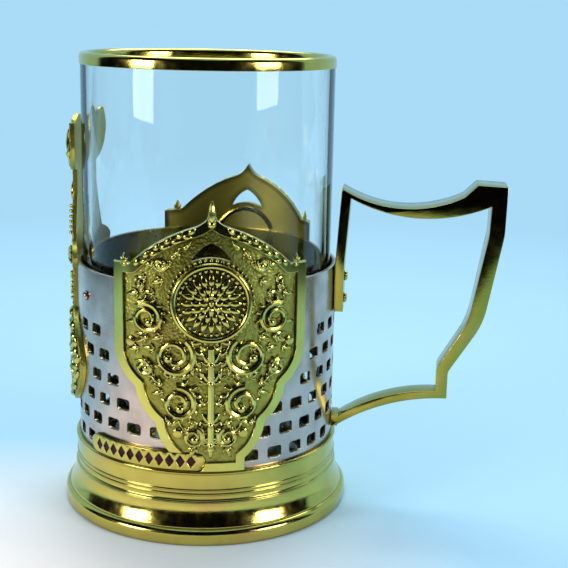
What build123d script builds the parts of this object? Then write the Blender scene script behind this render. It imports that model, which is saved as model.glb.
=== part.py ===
# Tea glass holder: a pierced metal wall on a turned foot, gilt ornaments, a strip handle
# and a lift-out glass.
# Millimetres, +Z up. The origin is on the glass's axis, at the surface that the foot stands on.
# The handle points along +X and the front ornament faces -Y. Angles are in degrees, counted from the handle.
from build123d import *
import os
from math import asin, cos, degrees, radians, sin

# Glass and the gilt band on its lip
glass_radius = 33.0
glass_height = 110.0
glass_wall = 1.8
glass_base = 6.0
glass_edge_round = 1.5
gilding_height = 3.0
gilding_thickness = 0.2

# Fits
glass_clearance = 0.6
solder_gap = 0.05

# Foot and floor
seat_height = 10.0
floor_thickness = 1.2
foot_ring_height = 4.3
foot_ring_flare = 4.2
foot_ring_width = 5.0
foot_ring_round = 1.6
groove_flare = 3.0
shoulder_flare = 1.3
shoulder_rise = 0.4
foot_hollow = 0.35
ledge_width = 3.1
collar_thickness = 0.75
collar_height = 8.8
collar_cove = 0.8

# Wall and its brick-shaped piercings
wall_thickness = 1.0
wall_height = 56.0
plain_band = 13.0
brick_count = 32
brick_width = 4.2
brick_height = 3.0
brick_corner = 0.8
brick_row_pitch = 5.87
brick_edge = 0.25
brick_overlap = 0.6

# Rivets
shank_radius = 0.8
head_radius = 1.5
head_height = 0.8
head_taper = 25.0

# Front and back ornament plates
panel_angle = 79.0
plate_thickness = 1.3
panel_half_width = 23.6
panel_shoulder = 4.8
panel_side = 21.8
panel_foot_half_width = 8.5
panel_foot_height = 3.3
panel_foot_gap = 0.4
lobe_count = 3
lobe_depth = 1.0
crest_rise = 18.2
crest_half_width = 19.6
crest_neck_half_width = 4.2
crest_neck_drop = 3.6
crest_slope = 17.0
crest_band = 7.2
border_width = 2.2
border_rise = 0.7
spandrel_half_width = 5.0
spandrel_bow = 0.7
spandrel_sill = 1.0
panel_rivet_margin = 0.5
panel_rivet_drop = 14.5
foot_rivet_rise = 6.5

# Medallions
medallion_radius = 9.9
medallion_drop = 3.6
medallion_rise = 1.2
medallion_rim = 1.5
medallion_rim_rise = 0.7
medallion_dome = 4.6
medallion_dome_rise = 0.9

# Scrolls
scroll_width = 1.5
scroll_rise = 1.2
scroll_turns = (1.0, 0.68, 0.4)
scroll_gap = 0.3
shoulder_scroll = 4.2
shoulder_scroll_start = 60.0
side_scroll = 5.6
side_scroll_start = 100.0
lobe_scroll = 4.9
lobe_scroll_start = 80.0
lobe_scroll_drop = 12.4
foot_scroll = 2.6
foot_scroll_start = 100.0
foot_scroll_rise = 5.6

# Palmette opposite the handle
palmette_angle = 180.0
palmette_rise = 37.4
palmette_oval_half_width = 19.5
palmette_oval_half_height = 14.0
palmette_oval_height = 20.7
palmette_stem_half_width = 7.5
palmette_knop_half_width = 13.0
palmette_knop_half_height = 4.4
palmette_knop_rise = 1.0
palmette_neck_half_width = 3.6
palmette_taper_half_width = 9.0
palmette_bead_radius = 3.5
palmette_bead_drop = 6.1
palmette_bead_rise = 0.9
palmette_head_half_width = 11.2
palmette_head_height = 14.5
palmette_cheek = 5.6
palmette_cheek_bow = 1.6
palmette_leaf_bow = 0.8
palmette_side_drop = 1.6
palmette_side_half_width = 10.2
palmette_notch_drop = 4.0
palmette_notch_half_width = 5.8
palmette_rib_width = 1.3
palmette_rib_rise = 0.9
palmette_rib_inset = 2.4
palmette_ring_inset = 3.0
palmette_rosette_radius = 4.6
palmette_rivet_drop = 7.0
palmette_rivet_rise = 10.0

# Plaque
plaque_half_length = 16.7
plaque_height = 4.6
plaque_thickness = 1.1
plaque_gap = 0.3
plaque_end_offset = 1.2
lozenge_count = 11
lozenge_pitch = 2.75
lozenge_width = 2.4
lozenge_height = 3.4
inlay_recess = 0.2

# Studs on the plain band
stud_angle = 144.0
stud_radius = 1.3
stud_drop = 7.0

# Handle strip
handle_width = 10.5
handle_foot_width = 6.0
handle_reach = 43.65
handle_rise = 20.5
leg_thickness = 2.4
leg_lean = 1.25
leg_length = 12.5
thumb_thickness = 2.2
thumb_dip = 4.6
thumb_low_reach = 18.4
ear_width = 10.8
ear_top_width = 7.6
ear_drop = 1.1
ear_rise = 2.1
ear_corner_rise = 1.8
grip_thickness = 3.9
grip_lean = 0.2
grip_upper_drop = 11.0
grip_waist = 4.3
grip_waist_height = 21.3
grip_bend = 22.0
heel_inset = 12.7
heel_height = 11.6
heel_rise = 7.6
heel_thickness = 3.0
heel_bend = 3.0
lower_thickness = 1.8
root_height = 2.6
root_depth = 2.4
tab_thickness = 1.8
tab_cap = 0.4
pin_depth = 1.5
leg_rivet_drops = (3.5, 9.5)

# Heights
ledge_z = seat_height - floor_thickness
collar_top = seat_height + collar_height
wall_top = seat_height + wall_height
lattice_top = wall_top - plain_band
lip_z = seat_height + glass_height
glass_top = lip_z - gilding_thickness

# Radii
glass_bore = glass_radius - glass_wall
wall_inner = glass_radius + glass_clearance
wall_outer = wall_inner + wall_thickness
collar_inner = wall_outer + solder_gap
collar_outer = collar_inner + collar_thickness
foot_bore = wall_outer - ledge_width
plate_inner = wall_outer + solder_gap
plate_outer = plate_inner + plate_thickness
relief_inner = plate_outer + solder_gap
shank_start = wall_inner + solder_gap
shank_hole = shank_radius + solder_gap
head_hole = head_radius + scroll_gap


def radial_plane(angle, height=0.0, radius=0.0):
    """Plane that faces outwards at an angle from the handle, with its own y axis pointing up."""
    out = Vector(cos(radians(angle)), sin(radians(angle)), 0)
    across = Vector(-sin(radians(angle)), cos(radians(angle)), 0)
    return Plane(origin=out * radius + Vector(0, 0, height), x_dir=across, z_dir=out)


def offset_angle(across, radius):
    """Angle at which a point on a cylinder lies that far to the side of the plane facing it."""
    return degrees(asin(across / radius))


def curved_sheet(outline, plane, inner, outer):
    """Sheet between two radii round the glass's axis, cut to an outline drawn on a plane that faces it."""
    with BuildPart() as sheet:
        with BuildSketch(plane):
            add(outline)
        extrude(amount=2 * outer)
        with BuildSketch(Plane.XY):
            Circle(outer)
            Circle(inner, mode=Mode.SUBTRACT)
        extrude(amount=lip_z, mode=Mode.INTERSECT)
    return sheet.part


def rivets(places, seat):
    """Rivets through the wall, with heads that sit at the seat radius. Places are (angle, height) pairs."""
    with BuildPart() as group:
        with BuildSketch(*[radial_plane(a, z, shank_start) for a, z in places]):
            Circle(shank_radius)
        extrude(amount=seat - shank_start)
        with BuildSketch(*[radial_plane(a, z, seat) for a, z in places]):
            Circle(head_radius)
        extrude(amount=head_height, taper=head_taper)
    return group.part


# Levels of the ornament plates
medallion_z = wall_top - medallion_drop
crest_tip_z = wall_top + crest_rise
crest_neck_z = crest_tip_z - crest_neck_drop
panel_shoulder_z = wall_top + panel_shoulder
panel_side_z = panel_shoulder_z - panel_side
panel_bottom_z = collar_top + panel_foot_gap
panel_foot_z = panel_bottom_z + panel_foot_height
lobe_width = (panel_half_width - panel_foot_half_width) / lobe_count
lobe_height = (panel_side_z - panel_foot_z) / lobe_count

# Levels of the palmette
palmette_top_z = wall_top + palmette_rise
palmette_oval_z = collar_top + palmette_oval_height
palmette_knop_z = wall_top + palmette_knop_rise
palmette_head_z = palmette_top_z - palmette_head_height
palmette_bead_z = palmette_head_z - palmette_bead_drop
palmette_cheek_z = palmette_head_z + palmette_cheek
palmette_side_z = palmette_top_z - palmette_side_drop
palmette_notch_z = palmette_top_z - palmette_notch_drop

# Places of the rivets and studs, as (angle, height)
rivet_inset = border_width + head_radius + panel_rivet_margin
side_rivet_angle = offset_angle(panel_half_width - rivet_inset, plate_outer)
foot_rivet_z = panel_foot_z + foot_rivet_rise
foot_rivet_across = panel_foot_half_width + foot_rivet_rise * lobe_width / lobe_height - rivet_inset
foot_rivet_angle = offset_angle(foot_rivet_across, plate_outer)
front_rivet_places = []
for side in (-1, 1):
    front_rivet_places.append((side * side_rivet_angle - panel_angle, wall_top - panel_rivet_drop))
    front_rivet_places.append((side * foot_rivet_angle - panel_angle, foot_rivet_z))
back_rivet_places = [(-angle, height) for angle, height in front_rivet_places]
palmette_rivet_places = [
    (palmette_angle, wall_top - palmette_rivet_drop),
    (palmette_angle, collar_top + palmette_rivet_rise),
]
leg_rivet_places = [(0, wall_top - drop) for drop in leg_rivet_drops]
root_z = collar_top + root_height
tab_bottom_z = root_z - tab_cap
tab_top_z = root_z + root_depth + tab_cap
pin_place = (0, root_z + root_depth / 2)
stud_places = [(side * stud_angle, wall_top - stud_drop) for side in (-1, 1)]
wall_hole_places = (
    front_rivet_places
    + back_rivet_places
    + palmette_rivet_places
    + leg_rivet_places
    + [pin_place]
    + stud_places
)

# Plaque
plaque_bottom_z = collar_top + plaque_gap
plaque_top_z = plaque_bottom_z + plaque_height
plaque_z = (plaque_bottom_z + plaque_top_z) / 2
plaque_outer = plate_inner + plaque_thickness
plaque_end_angle = -panel_angle - offset_angle(plaque_end_offset, plate_outer)
plaque_angle = plaque_end_angle - offset_angle(plaque_half_length, plaque_outer)
lozenge_step = degrees(lozenge_pitch / plaque_outer)
lozenge_first = plaque_angle - lozenge_step * (lozenge_count - 1) / 2
lozenge_planes = [
    radial_plane(lozenge_first + i * lozenge_step, plaque_z, plate_inner) for i in range(lozenge_count)
]


def panel_cover(height):
    """Half-width of the ornament plates at a height, or 0 where they don't reach."""
    if height < panel_bottom_z:
        return 0.0
    share = min(1.0, max(0.0, (height - panel_foot_z) / (panel_side_z - panel_foot_z)))
    return panel_foot_half_width + share * (panel_half_width - panel_foot_half_width)


def palmette_cover(height):
    """Half-width of the palmette on the wall at a height, or 0 where it doesn't reach."""
    rise = (height - palmette_oval_z) / palmette_oval_half_height
    if abs(rise) < 1:
        return max(palmette_oval_half_width * (1 - rise * rise) ** 0.5, shank_hole)
    return palmette_stem_half_width if rise > 0 else 0.0


def plaque_cover(height):
    """Half-length of the plaque at a height, or 0 away from it."""
    return plaque_half_length if abs(height - plaque_z) < (plaque_height + brick_height) / 2 else 0.0


def tab_cover(height):
    """Half-width of the handle's lower tab at a height, or 0 away from it."""
    return handle_foot_width / 2 if height - brick_height / 2 < tab_top_z else 0.0


def covered(angle, height):
    """True where a piercing would lie mostly behind an ornament, the plaque or the handle's tab."""
    covers = (
        (-panel_angle, panel_cover(height)),
        (panel_angle, panel_cover(height)),
        (palmette_angle, palmette_cover(height)),
        (plaque_angle, plaque_cover(height)),
        (0.0, tab_cover(height)),
    )
    for centre, half_width in covers:
        away = abs((angle - centre + 180) % 360 - 180)
        reach = half_width + brick_width / 2 - brick_overlap
        if half_width > 0 and away < 90 and wall_outer * sin(radians(away)) < reach:
            return True
    return False


row_count = int((lattice_top - brick_edge - brick_height - collar_top) / brick_row_pitch) + 1
brick_places = []
for row in range(row_count):
    row_z = lattice_top - brick_edge - brick_height / 2 - row * brick_row_pitch
    for column in range(brick_count):
        brick_angle = (column + (row % 2) / 2) * 360 / brick_count
        if not covered(brick_angle, row_z):
            brick_places.append((brick_angle, row_z))

# Wall: a sheet tube, pierced for the bricks and the rivets
with BuildPart() as wall_shell:
    with BuildSketch(Plane.XY.offset(seat_height)):
        Circle(wall_outer)
        Circle(wall_inner, mode=Mode.SUBTRACT)
    extrude(amount=wall_height)
    with BuildSketch(*[radial_plane(a, z, wall_inner - wall_thickness) for a, z in brick_places]):
        RectangleRounded(brick_width, brick_height, brick_corner)
    extrude(amount=3 * wall_thickness, mode=Mode.SUBTRACT)
    with BuildSketch(*[radial_plane(a, z, wall_inner - wall_thickness) for a, z in wall_hole_places]):
        Circle(shank_hole)
    extrude(amount=3 * wall_thickness, mode=Mode.SUBTRACT)

# Foot: a turned shell with a hollow flare and a ledge for the floor
foot_groove = (wall_outer + groove_flare, foot_ring_height)
foot_shoulder = (wall_outer + shoulder_flare, seat_height + shoulder_rise)
with BuildPart() as foot_shell:
    with BuildSketch(Plane.XZ):
        with BuildLine():
            Line((foot_bore, foot_ring_height), foot_groove)
            SagittaArc(foot_groove, foot_shoulder, -foot_hollow)
            Polyline(
                foot_shoulder,
                (collar_inner, foot_shoulder[1]),
                (collar_inner, ledge_z),
                (foot_bore, ledge_z),
                (foot_bore, foot_ring_height),
            )
        make_face()
    revolve(axis=Axis.Z)

# Collar that holds the wall, with a flared edge on the foot's shoulder
collar_bottom = foot_shoulder[1] + solder_gap
with BuildPart() as wall_collar:
    with BuildSketch(Plane.XZ):
        Polygon(
            (collar_inner, collar_bottom),
            (foot_shoulder[0], collar_bottom),
            (collar_outer, collar_bottom + collar_cove),
            (collar_outer, collar_top),
            (collar_inner, collar_top),
            align=None,
        )
    revolve(axis=Axis.Z)

# Ring under the foot, rounded on its outer side
ring_outer = wall_outer + foot_ring_flare
with BuildPart() as foot_ring:
    with BuildSketch(Plane.XY):
        Circle(ring_outer)
        Circle(ring_outer - foot_ring_width, mode=Mode.SUBTRACT)
    extrude(amount=foot_ring_height)
    outer_edges = foot_ring.edges().filter_by(GeomType.CIRCLE).group_by(SortBy.RADIUS)[-1]
    fillet(outer_edges.sort_by(Axis.Z)[-1:], foot_ring_round)
    outer_edges = foot_ring.edges().filter_by(GeomType.CIRCLE).group_by(SortBy.RADIUS)[-1]
    fillet(outer_edges.sort_by(Axis.Z)[:1], foot_ring_round / 2)

# Floor that the glass stands on, between the foot's ledge and the wall
with BuildPart() as floor_disc:
    with BuildSketch(Plane.XY.offset(ledge_z)):
        Circle(wall_outer)
    extrude(amount=floor_thickness)

# Glass
with BuildPart() as glass_tumbler:
    with BuildSketch(Plane.XY.offset(seat_height)):
        Circle(glass_radius)
    extrude(amount=glass_top - seat_height)
    fillet(glass_tumbler.edges().sort_by(Axis.Z)[:1], glass_edge_round)
    with BuildSketch(Plane.XY.offset(seat_height + glass_base)):
        Circle(glass_bore)
    extrude(amount=glass_top - seat_height - glass_base, mode=Mode.SUBTRACT)
    bore_floor = glass_tumbler.faces().filter_by(Plane.XY).sort_by(Axis.Z)[1]
    fillet(bore_floor.edges(), glass_edge_round)

# Gilding: a thin cap over the glass's lip
gilding_outer = glass_radius + solder_gap + gilding_thickness
gilding_bore = glass_bore - solder_gap - gilding_thickness
with BuildPart() as rim_gilding:
    with BuildSketch(Plane.XY.offset(lip_z - gilding_height)):
        Circle(gilding_outer)
        Circle(gilding_bore, mode=Mode.SUBTRACT)
    extrude(amount=gilding_height)
    with BuildSketch(Plane.XY.offset(lip_z - gilding_height)):
        Circle(glass_radius + solder_gap)
        Circle(glass_bore - solder_gap, mode=Mode.SUBTRACT)
    extrude(amount=gilding_height - gilding_thickness, mode=Mode.SUBTRACT)

# Plaque over the collar, with a row of lozenge inlays
with BuildSketch() as plaque_face:
    with Locations((0, plaque_z)):
        SlotOverall(2 * plaque_half_length, plaque_height)
plaque_plane = radial_plane(plaque_angle)
plaque_sheet = curved_sheet(plaque_face.sketch, plaque_plane, plate_inner, plaque_outer)
half_lozenge = (lozenge_width / 2, lozenge_height / 2)
with BuildPart() as plaque:
    add(plaque_sheet)
    with BuildSketch(*lozenge_planes):
        Polygon((half_lozenge[0], 0), (0, half_lozenge[1]), (-half_lozenge[0], 0), (0, -half_lozenge[1]))
    extrude(amount=2 * plaque_thickness, both=True, mode=Mode.SUBTRACT)
with BuildPart() as plaque_inlays:
    with BuildSketch(*lozenge_planes):
        Polygon((half_lozenge[0], 0), (0, half_lozenge[1]), (-half_lozenge[0], 0), (0, -half_lozenge[1]))
        offset(amount=-solder_gap)
    extrude(amount=plaque_thickness - inlay_recess)

# Room that the front plate leaves for the plaque
with BuildSketch() as plaque_outline:
    add(plaque_face.sketch)
    offset(amount=plaque_gap)
plaque_room = curved_sheet(plaque_outline.sketch, plaque_plane, wall_outer, plate_outer + 2 * scroll_rise)

# Outline of the ornament plates: a pointed crest, straight sides and lobes that step in towards the foot
front_plane = radial_plane(-panel_angle)
crest_neck = (crest_neck_half_width, crest_neck_z)
crest_foot = (crest_half_width, panel_shoulder_z)
crest_run = (cos(radians(crest_slope)), -sin(radians(crest_slope)))
with BuildSketch() as panel_face:
    with BuildLine():
        TangentArc(crest_neck, (0, crest_tip_z), tangent=(-crest_run[0], -crest_run[1]))
        TangentArc(crest_neck, crest_foot, tangent=crest_run)
        Polyline(crest_foot, (panel_half_width, panel_shoulder_z), (panel_half_width, panel_side_z))
        for lobe in range(lobe_count):
            lobe_start = (panel_half_width - lobe * lobe_width, panel_side_z - lobe * lobe_height)
            lobe_end = (lobe_start[0] - lobe_width, lobe_start[1] - lobe_height)
            SagittaArc(lobe_start, lobe_end, lobe_depth)
        Polyline(
            (panel_foot_half_width, panel_foot_z),
            (panel_foot_half_width, panel_bottom_z),
            (0, panel_bottom_z),
        )
        mirror(about=Plane.YZ)
    make_face()
with BuildSketch() as panel_field:
    add(panel_face.sketch)
    offset(amount=-border_width)
with BuildSketch() as panel_border:
    add(panel_face.sketch)
    add(panel_field.sketch, mode=Mode.SUBTRACT)

# Opening under the crest: a curved triangle over the medallion
sill_radius = medallion_radius + spandrel_sill
sill_z = medallion_z + (sill_radius**2 - spandrel_half_width**2) ** 0.5
spandrel_tip = (0, crest_tip_z - crest_band)
with BuildSketch() as spandrel:
    with BuildLine():
        SagittaArc(spandrel_tip, (spandrel_half_width, sill_z), spandrel_bow)
        ThreePointArc(
            (spandrel_half_width, sill_z), (0, medallion_z + sill_radius), (-spandrel_half_width, sill_z)
        )
        SagittaArc((-spandrel_half_width, sill_z), spandrel_tip, spandrel_bow)
    make_face()

panel_base = curved_sheet(panel_face.sketch, front_plane, plate_inner, plate_outer)
panel_rail = curved_sheet(panel_border.sketch, front_plane, plate_inner, plate_outer + border_rise)
with BuildPart() as panel_plate:
    add(panel_base)
    add(panel_rail)
    with BuildSketch(front_plane):
        add(spandrel.sketch)
    extrude(amount=2 * plate_outer, mode=Mode.SUBTRACT)
    with BuildSketch(*[radial_plane(a, z, wall_inner) for a, z in front_rivet_places]):
        Circle(shank_hole)
    extrude(amount=plate_outer, mode=Mode.SUBTRACT)

with BuildPart() as front_ogee_plate:
    add(panel_plate.part)
    add(plaque_room, mode=Mode.SUBTRACT)

# Medallion: a disc with a raised rim and a low dome, fitted to the plate's curve
medallion_face = plate_outer + medallion_rise
with BuildPart() as front_medallion:
    with BuildSketch(front_plane):
        with Locations((0, medallion_z)):
            Circle(medallion_radius)
    extrude(amount=medallion_face)
    with BuildSketch(front_plane.offset(medallion_face)):
        with Locations((0, medallion_z)):
            Circle(medallion_radius)
            Circle(medallion_radius - medallion_rim, mode=Mode.SUBTRACT)
    extrude(amount=medallion_rim_rise)
    with BuildSketch(front_plane.offset(medallion_face)):
        with Locations((0, medallion_z)):
            Circle(medallion_dome)
    extrude(amount=medallion_dome_rise, taper=head_taper)
    with BuildSketch(Plane.XY):
        Circle(relief_inner)
    extrude(amount=lip_z, mode=Mode.SUBTRACT)


def volute(centre, radius, start, side):
    """Three half-circle arcs that curl inwards from a starting angle, mirrored for the left side."""
    x, z = centre
    turn = start
    for share, following in zip(scroll_turns, scroll_turns[1:] + scroll_turns[-1:]):
        CenterArc((side * x, z), radius * share, turn if side > 0 else 180 - turn, side * 180)
        turn += 180
        step = radius * (share - following)
        x += step * cos(radians(turn))
        z += step * sin(radians(turn))


# Scrolls on the front plate, in pairs down both sides of a stem
shoulder_scroll_x = panel_half_width - border_width - shoulder_scroll - scroll_width
shoulder_scroll_z = medallion_z - shoulder_scroll
lobe_scroll_z = panel_side_z - lobe_scroll_drop
foot_scroll_z = panel_foot_z + foot_scroll_rise
scrolls = (
    ((shoulder_scroll_x, shoulder_scroll_z), shoulder_scroll, shoulder_scroll_start),
    ((side_scroll + 2 * scroll_width, panel_side_z), side_scroll, side_scroll_start),
    ((lobe_scroll + 2 * scroll_width, lobe_scroll_z), lobe_scroll, lobe_scroll_start),
    ((foot_scroll + scroll_width, foot_scroll_z), foot_scroll, foot_scroll_start),
)
with BuildSketch() as scroll_field:
    for side in (-1, 1):
        for centre, radius, start in scrolls:
            with BuildLine():
                volute(centre, radius, start, side)
            trace(line_width=scroll_width)
    with BuildLine():
        Line((0, panel_bottom_z), (0, medallion_z))
    trace(line_width=scroll_width)
    add(panel_field.sketch, mode=Mode.INTERSECT)
    with Locations((0, medallion_z)):
        Circle(medallion_radius + scroll_gap, mode=Mode.SUBTRACT)
    for angle, height in front_rivet_places:
        with Locations((relief_inner * sin(radians(angle + panel_angle)), height)):
            Circle(head_hole, mode=Mode.SUBTRACT)
scroll_sheet = curved_sheet(scroll_field.sketch, front_plane, relief_inner, relief_inner + scroll_rise)
with BuildPart() as front_scrollwork:
    add(scroll_sheet)
    add(plaque_room, mode=Mode.SUBTRACT)

front_rivet_group = rivets(front_rivet_places, relief_inner)
with BuildPart() as front_rivets:
    add(front_rivet_group)

# The same ornament on the far side
with BuildPart() as back_ogee_plate:
    mirror(panel_plate.part, about=Plane.XZ)
with BuildPart() as back_medallion:
    mirror(front_medallion.part, about=Plane.XZ)
with BuildPart() as back_scrollwork:
    mirror(scroll_sheet, about=Plane.XZ)
with BuildPart() as back_rivets:
    mirror(front_rivets.part, about=Plane.XZ)

# Palmette: an oval on the wall, a stem with a knop over the wall's edge, and a three-pointed head
palmette_plane = radial_plane(palmette_angle)
head_neck = (palmette_neck_half_width, palmette_head_z)
head_cheek = (palmette_head_half_width, palmette_cheek_z)
head_side = (palmette_side_half_width, palmette_side_z)
head_notch = (palmette_notch_half_width, palmette_notch_z)
with BuildSketch() as palmette_head:
    with BuildLine():
        Line((0, palmette_head_z), head_neck)
        SagittaArc(head_neck, head_cheek, -palmette_cheek_bow)
        SagittaArc(head_cheek, head_side, -palmette_leaf_bow)
        SagittaArc(head_side, head_notch, -palmette_leaf_bow)
        SagittaArc(head_notch, (0, palmette_top_z), -palmette_leaf_bow)
        mirror(about=Plane.YZ)
    make_face()
with BuildSketch() as palmette_face:
    add(palmette_head.sketch)
    with Locations((0, palmette_oval_z)):
        Ellipse(palmette_oval_half_width, palmette_oval_half_height)
    with Locations((0, (palmette_oval_z + palmette_knop_z) / 2)):
        Rectangle(2 * palmette_stem_half_width, palmette_knop_z - palmette_oval_z)
    with Locations((0, palmette_knop_z)):
        Ellipse(palmette_knop_half_width, palmette_knop_half_height)
    with BuildLine():
        Polyline(
            (-palmette_taper_half_width, palmette_knop_z),
            (palmette_taper_half_width, palmette_knop_z),
            (palmette_neck_half_width, palmette_bead_z),
            (palmette_neck_half_width, palmette_head_z),
            (-palmette_neck_half_width, palmette_head_z),
            (-palmette_neck_half_width, palmette_bead_z),
            close=True,
        )
    make_face()
    with Locations((0, palmette_bead_z)):
        Circle(palmette_bead_radius)
palmette_sheet = curved_sheet(palmette_face.sketch, palmette_plane, plate_inner, plate_outer)
with BuildPart() as palmette_plate:
    add(palmette_sheet)
    with BuildSketch(*[radial_plane(a, z, wall_inner) for a, z in palmette_rivet_places]):
        Circle(shank_hole)
    extrude(amount=plate_outer, mode=Mode.SUBTRACT)

# Bead on the palmette's neck
with BuildPart() as palmette_bead:
    with BuildSketch(palmette_plane):
        with Locations((0, palmette_bead_z)):
            Circle(palmette_bead_radius)
    extrude(amount=relief_inner)
    with BuildSketch(palmette_plane.offset(relief_inner)):
        with Locations((0, palmette_bead_z)):
            Circle(palmette_bead_radius)
    extrude(amount=palmette_bead_rise, taper=head_taper)
    with BuildSketch(Plane.XY):
        Circle(relief_inner)
    extrude(amount=lip_z, mode=Mode.SUBTRACT)

# Relief on the palmette: ribs that fan out over the head, and a ring round a rosette on the oval
rib_reach = palmette_head_half_width - palmette_rib_inset
rib_foot = (0, palmette_head_z + palmette_rib_inset / 2)
with BuildSketch() as palmette_ribs:
    with BuildLine():
        Line(rib_foot, (0, palmette_top_z - palmette_rib_inset))
    trace(line_width=palmette_rib_width)
    for side in (-1, 1):
        with BuildLine():
            Line(rib_foot, (side * palmette_notch_half_width, palmette_notch_z - palmette_rib_inset))
        trace(line_width=palmette_rib_width)
        with BuildLine():
            Line(rib_foot, (side * rib_reach, palmette_cheek_z + palmette_rib_inset))
        trace(line_width=palmette_rib_width)
    ring_half_width = palmette_oval_half_width - palmette_ring_inset
    ring_half_height = palmette_oval_half_height - palmette_ring_inset
    with Locations((0, palmette_oval_z)):
        Ellipse(ring_half_width, ring_half_height)
        Ellipse(
            ring_half_width - palmette_rib_width,
            ring_half_height - palmette_rib_width,
            mode=Mode.SUBTRACT,
        )
        Circle(palmette_rosette_radius)
    for angle, height in palmette_rivet_places:
        with Locations((0, height)):
            Circle(head_hole, mode=Mode.SUBTRACT)
palmette_rib_sheet = curved_sheet(
    palmette_ribs.sketch, palmette_plane, relief_inner, relief_inner + palmette_rib_rise
)
with BuildPart() as palmette_relief:
    add(palmette_rib_sheet)

palmette_rivet_group = rivets(palmette_rivet_places, relief_inner)
with BuildPart() as palmette_rivets:
    add(palmette_rivet_group)

# Studs on the plain band
with BuildPart() as band_studs:
    with BuildSketch(*[radial_plane(a, z, shank_start) for a, z in stud_places]):
        Circle(shank_radius)
    extrude(amount=plate_inner - shank_start)
    with BuildSketch(*[radial_plane(a, z, plate_inner) for a, z in stud_places]):
        Circle(stud_radius)
    extrude(amount=head_height, taper=head_taper)

# Handle: one bent strip, from a leg on the wall over a dipped thumb rest,
# and down the grip to a tab on the wall
leg_x = plate_inner
leg_face = leg_x + leg_thickness
leg_bottom_z = wall_top - leg_length
grip_x = leg_x + handle_reach
handle_top_z = wall_top + handle_rise
heel_x = grip_x - heel_inset
heel_z = collar_top + heel_height
thumb_corner = (leg_x + leg_lean, handle_top_z)
thumb_low = (leg_x + thumb_low_reach, handle_top_z - thumb_dip)
ear_foot = (grip_x - ear_width, handle_top_z - ear_drop)
ear_tip = (grip_x - ear_top_width, handle_top_z + ear_rise)
ear_corner = (grip_x, handle_top_z + ear_corner_rise)
grip_upper = (grip_x - grip_lean, handle_top_z - grip_upper_drop)
grip_lower = (grip_x - grip_waist, heel_z + grip_waist_height)
heel_top = (heel_x, heel_z + heel_rise)
heel = (heel_x, heel_z)
root = (leg_x + tab_thickness, root_z)
inner_root = (leg_x + tab_thickness, root_z + root_depth)
inner_heel = (heel_x - heel_thickness, heel_z + lower_thickness)
inner_heel_top = (heel_x - heel_thickness, heel_top[1] + lower_thickness / 2)
inner_lower = (grip_lower[0] - grip_thickness, grip_lower[1])
inner_upper = (grip_upper[0] - grip_thickness, grip_upper[1])
inner_corner = (grip_x - grip_thickness, ear_foot[1] - thumb_thickness)
under_low = (thumb_low[0], thumb_low[1] - thumb_thickness)
under_corner = (thumb_corner[0] + leg_thickness, handle_top_z - leg_thickness)
inwards = (-1, 0)
with BuildPart() as handle_strip:
    with BuildSketch(Plane.XZ):
        with BuildLine():
            Polyline((leg_face, leg_bottom_z), (leg_x, leg_bottom_z), (leg_x, wall_top), thumb_corner)
            ThreePointArc(thumb_corner, thumb_low, ear_foot)
            Polyline(ear_foot, ear_tip, ear_corner)
            FilletPolyline(
                ear_corner, grip_upper, grip_lower, heel_top, heel, radius=[grip_bend, grip_bend, heel_bend]
            )
            TangentArc(heel, root, tangent=inwards)
            Polyline(
                root,
                (root[0], tab_bottom_z),
                (leg_x, tab_bottom_z),
                (leg_x, tab_top_z),
                (inner_root[0], tab_top_z),
                inner_root,
            )
            TangentArc(inner_heel, inner_root, tangent=inwards)
            FilletPolyline(
                inner_heel,
                inner_heel_top,
                inner_lower,
                inner_upper,
                inner_corner,
                radius=[heel_bend, grip_bend, grip_bend],
            )
            ThreePointArc(inner_corner, under_low, under_corner)
            Polyline(under_corner, (leg_face, wall_top), (leg_face, leg_bottom_z))
        make_face()
    extrude(amount=handle_width / 2, both=True)
    with BuildSketch(Plane.YZ):
        Polygon(
            (-handle_foot_width / 2, tab_bottom_z),
            (handle_foot_width / 2, tab_bottom_z),
            (handle_foot_width / 2, heel_z),
            (handle_width / 2, grip_upper[1]),
            (handle_width / 2, ear_tip[1]),
            (-handle_width / 2, ear_tip[1]),
            (-handle_width / 2, grip_upper[1]),
            (-handle_foot_width / 2, heel_z),
            align=None,
        )
    extrude(amount=2 * grip_x, mode=Mode.INTERSECT)
    with BuildSketch(*[radial_plane(a, z, wall_inner) for a, z in leg_rivet_places]):
        Circle(shank_hole)
    extrude(amount=2 * leg_thickness + wall_thickness, mode=Mode.SUBTRACT)
    with BuildSketch(radial_plane(*pin_place, radius=wall_inner)):
        Circle(shank_hole)
    extrude(amount=leg_x + pin_depth + solder_gap - wall_inner, mode=Mode.SUBTRACT)

leg_rivet_group = rivets(leg_rivet_places, leg_face)
with BuildPart() as handle_upper_rivets:
    add(leg_rivet_group)
with BuildPart() as handle_lower_pin:
    with BuildSketch(radial_plane(*pin_place, radius=shank_start)):
        Circle(shank_radius)
    extrude(amount=leg_x + pin_depth - shank_start)

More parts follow.
